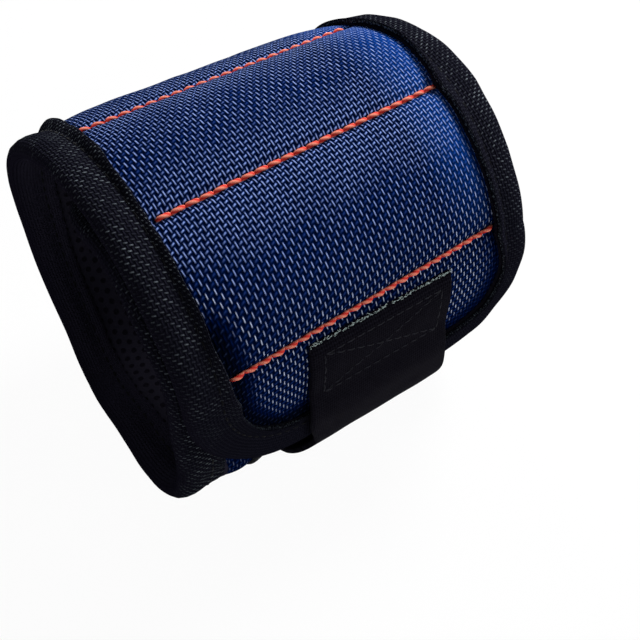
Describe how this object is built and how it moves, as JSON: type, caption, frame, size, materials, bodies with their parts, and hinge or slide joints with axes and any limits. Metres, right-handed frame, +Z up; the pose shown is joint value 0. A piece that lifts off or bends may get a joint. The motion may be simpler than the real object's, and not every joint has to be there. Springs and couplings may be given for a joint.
{
  "type": "magnetic wristband",
  "caption": "Rolled fabric wristband with sewn pockets that hold flat magnets, edge binding, breathable lining and a hook-and-loop closing tab.",
  "frame": {"origin": "centre of the bounding box on the surface that the closed band lies on", "axes": "+X across the band, along the wrist; -Y the side with the closing tab; +Z up"},
  "size_m": [0.088, 0.0834, 0.0844],
  "materials": {
    "blue_nylon": "coarse basket weave",
    "binding_tape": "ribbed woven tape",
    "spacer_mesh": "open knitted mesh",
    "loop_pile": "brushed loop pile",
    "hook_tape": "woven back, hooks below",
    "magnet": "plain plated"
  },
  "bodies": {
    "floor_panel": {"loop_1_fabric": "blue_nylon", "loop_1_lining": "spacer_mesh", "loop_1_binding_left": "binding_tape", "loop_1_binding_right": "binding_tape", "loop_1_pad": "loop_pile"},
    "pocket_panel_5": {"pocket_5_fabric": "blue_nylon", "pocket_5_lining": "spacer_mesh", "pocket_5_binding_left": "binding_tape", "pocket_5_binding_right": "binding_tape", "pocket_5_magnet": "magnet"},
    "pocket_panel_4": {"pocket_4_fabric": "blue_nylon", "pocket_4_lining": "spacer_mesh", "pocket_4_binding_left": "binding_tape", "pocket_4_binding_right": "binding_tape", "pocket_4_magnet": "magnet"},
    "pocket_panel_3": {"pocket_3_fabric": "blue_nylon", "pocket_3_lining": "spacer_mesh", "pocket_3_binding_left": "binding_tape", "pocket_3_binding_right": "binding_tape", "pocket_3_magnet": "magnet"},
    "pocket_panel_2": {"pocket_2_fabric": "blue_nylon", "pocket_2_lining": "spacer_mesh", "pocket_2_binding_left": "binding_tape", "pocket_2_binding_right": "binding_tape", "pocket_2_magnet": "magnet"},
    "pocket_panel_1": {"pocket_1_fabric": "blue_nylon", "pocket_1_lining": "spacer_mesh", "pocket_1_binding_left": "binding_tape", "pocket_1_binding_right": "binding_tape", "pocket_1_magnet": "magnet"},
    "end_panel": {"end_fabric": "blue_nylon", "end_lining": "spacer_mesh", "end_binding": "binding_tape", "tab_base": "hook_tape"},
    "tab": {"tab_strap": "hook_tape"},
    "tab_pull": {"tab_tip": "hook_tape"},
    "loop_panel_2": {"loop_2_fabric": "blue_nylon", "loop_2_lining": "spacer_mesh", "loop_2_binding_left": "binding_tape", "loop_2_binding_right": "binding_tape", "loop_2_pad": "loop_pile"},
    "loop_panel_3": {"loop_3_fabric": "blue_nylon", "loop_3_lining": "spacer_mesh", "loop_3_binding_left": "binding_tape", "loop_3_binding_right": "binding_tape", "loop_3_pad": "loop_pile"},
    "loop_panel_4": {"loop_4_fabric": "blue_nylon", "loop_4_lining": "spacer_mesh", "loop_4_binding_left": "binding_tape", "loop_4_binding_right": "binding_tape", "loop_4_pad": "loop_pile"},
    "loop_panel_5": {"loop_5_fabric": "blue_nylon", "loop_5_lining": "spacer_mesh", "loop_5_binding": "binding_tape", "loop_5_pad": "loop_pile"}
  },
  "joints": [
    {"name": "band_unroll", "type": "hinge", "parent": "floor_panel", "child": "pocket_panel_5", "pos_m": [0, 0.01931, 0.00189], "axis": [-1, 0, 0], "range_deg": [0, 63.5]},
    {"name": "seam_5_fold", "type": "hinge", "parent": "pocket_panel_5", "child": "pocket_panel_4", "pos_m": [0, 0.03753, 0.02697], "axis": [-1, 0, 0], "range_deg": [0, 38]},
    {"name": "seam_4_fold", "type": "hinge", "parent": "pocket_panel_4", "child": "pocket_panel_3", "pos_m": [0, 0.03644, 0.05795], "axis": [-1, 0, 0], "range_deg": [0, 43]},
    {"name": "seam_3_fold", "type": "hinge", "parent": "pocket_panel_3", "child": "pocket_panel_2", "pos_m": [0, 0.01452, 0.07987], "axis": [-1, 0, 0], "range_deg": [0, 45]},
    {"name": "seam_2_fold", "type": "hinge", "parent": "pocket_panel_2", "child": "pocket_panel_1", "pos_m": [0, -0.01648, 0.07987], "axis": [-1, 0, 0], "range_deg": [0, 45]},
    {"name": "seam_1_fold", "type": "hinge", "parent": "pocket_panel_1", "child": "end_panel", "pos_m": [0, -0.0384, 0.05795], "axis": [-1, 0, 0], "range_deg": [0, 45]},
    {"name": "tab_peel", "type": "hinge", "parent": "end_panel", "child": "tab", "pos_m": [0, -0.041, 0.02425], "axis": [-1, 0, 0], "range_deg": [0, 47]},
    {"name": "pull_lift", "type": "hinge", "parent": "tab", "child": "tab_pull", "pos_m": [0, -0.01708, 0.00195], "axis": [-1, 0, 0], "range_deg": [0, 75]},
    {"name": "loop_fold_1", "type": "hinge", "parent": "floor_panel", "child": "loop_panel_2", "pos_m": [0, -0.01807, 0.00815], "axis": [1, 0, 0], "range_deg": [0, 35]},
    {"name": "loop_fold_2", "type": "hinge", "parent": "loop_panel_2", "child": "loop_panel_3", "pos_m": [0, -0.03145, 0.02129], "axis": [1, 0, 0], "range_deg": [0, 45.5]},
    {"name": "loop_fold_3", "type": "hinge", "parent": "loop_panel_3", "child": "loop_panel_4", "pos_m": [0, -0.03145, 0.05507], "axis": [1, 0, 0], "range_deg": [0, 45]},
    {"name": "loop_fold_4", "type": "hinge", "parent": "loop_panel_4", "child": "loop_panel_5", "pos_m": [0, -0.0136, 0.07292], "axis": [1, 0, 0], "range_deg": [0, 53]}
  ],
  "couplings": [
    {"joint": "seam_5_fold", "follows": "band_unroll", "ratio": 0.59842},
    {"joint": "seam_4_fold", "follows": "band_unroll", "ratio": 0.67717},
    {"joint": "seam_3_fold", "follows": "band_unroll", "ratio": 0.70866},
    {"joint": "seam_2_fold", "follows": "band_unroll", "ratio": 0.70866},
    {"joint": "seam_1_fold", "follows": "band_unroll", "ratio": 0.70866},
    {"joint": "tab_peel", "follows": "band_unroll", "ratio": 0.74016},
    {"joint": "loop_fold_1", "follows": "band_unroll", "ratio": 0.55118},
    {"joint": "loop_fold_2", "follows": "band_unroll", "ratio": 0.71654},
    {"joint": "loop_fold_3", "follows": "band_unroll", "ratio": 0.70866},
    {"joint": "loop_fold_4", "follows": "band_unroll", "ratio": 0.83464}
  ]
}
